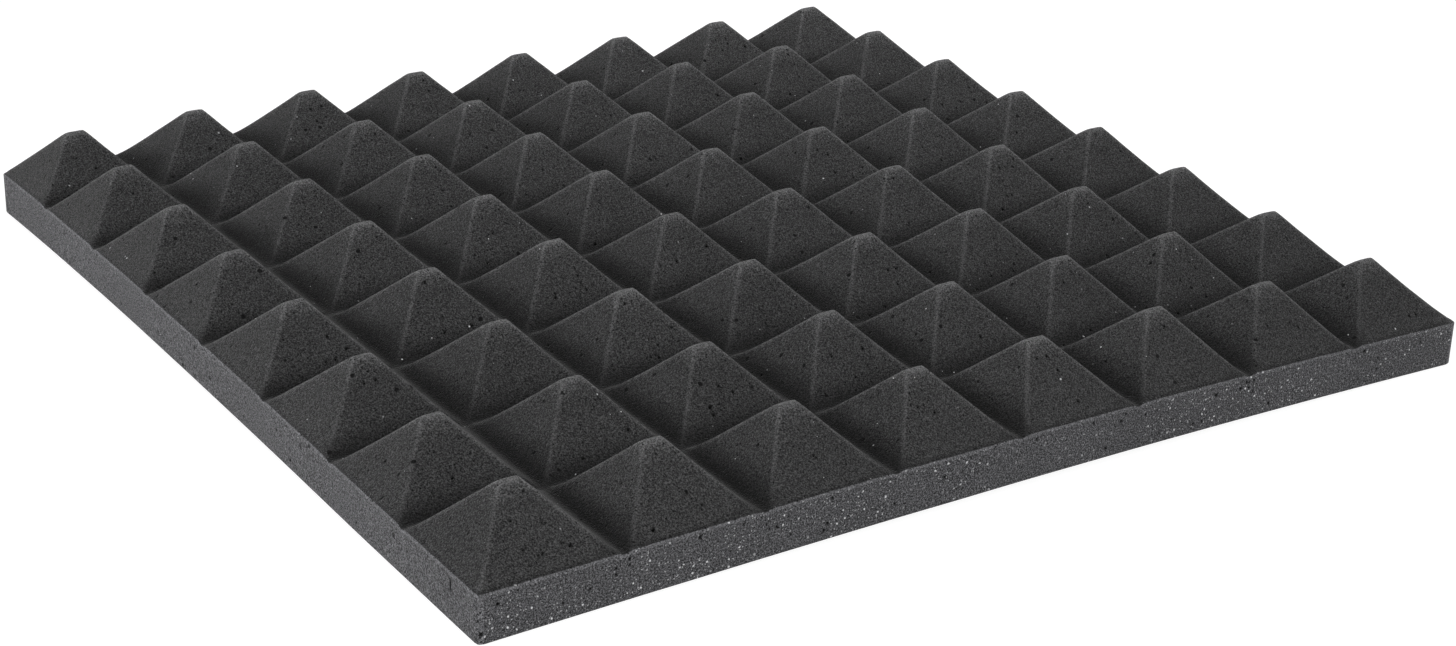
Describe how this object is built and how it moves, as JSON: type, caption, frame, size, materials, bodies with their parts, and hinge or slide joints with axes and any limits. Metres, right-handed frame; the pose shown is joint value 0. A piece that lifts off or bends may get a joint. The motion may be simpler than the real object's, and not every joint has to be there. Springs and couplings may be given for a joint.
{
  "type": "acoustic foam panel",
  "caption": "Square charcoal foam panel with a flat slab back and rows of four-sided pyramids on its face, for absorbing sound on a wall.",
  "frame": {"origin": "middle of the flat back face, which lies on the floor or against the wall", "axes": "+Z from the back face to the pyramid tips; X and Y along the panel's straight sides, with the short crests of the pyramids along X"},
  "size_m": [0.5, 0.5, 0.046],
  "materials": {
    "charcoal_foam": "matte"
  },
  "bodies": {
    "root": {"foam_panel": "charcoal_foam"}
  },
  "joints": []
}
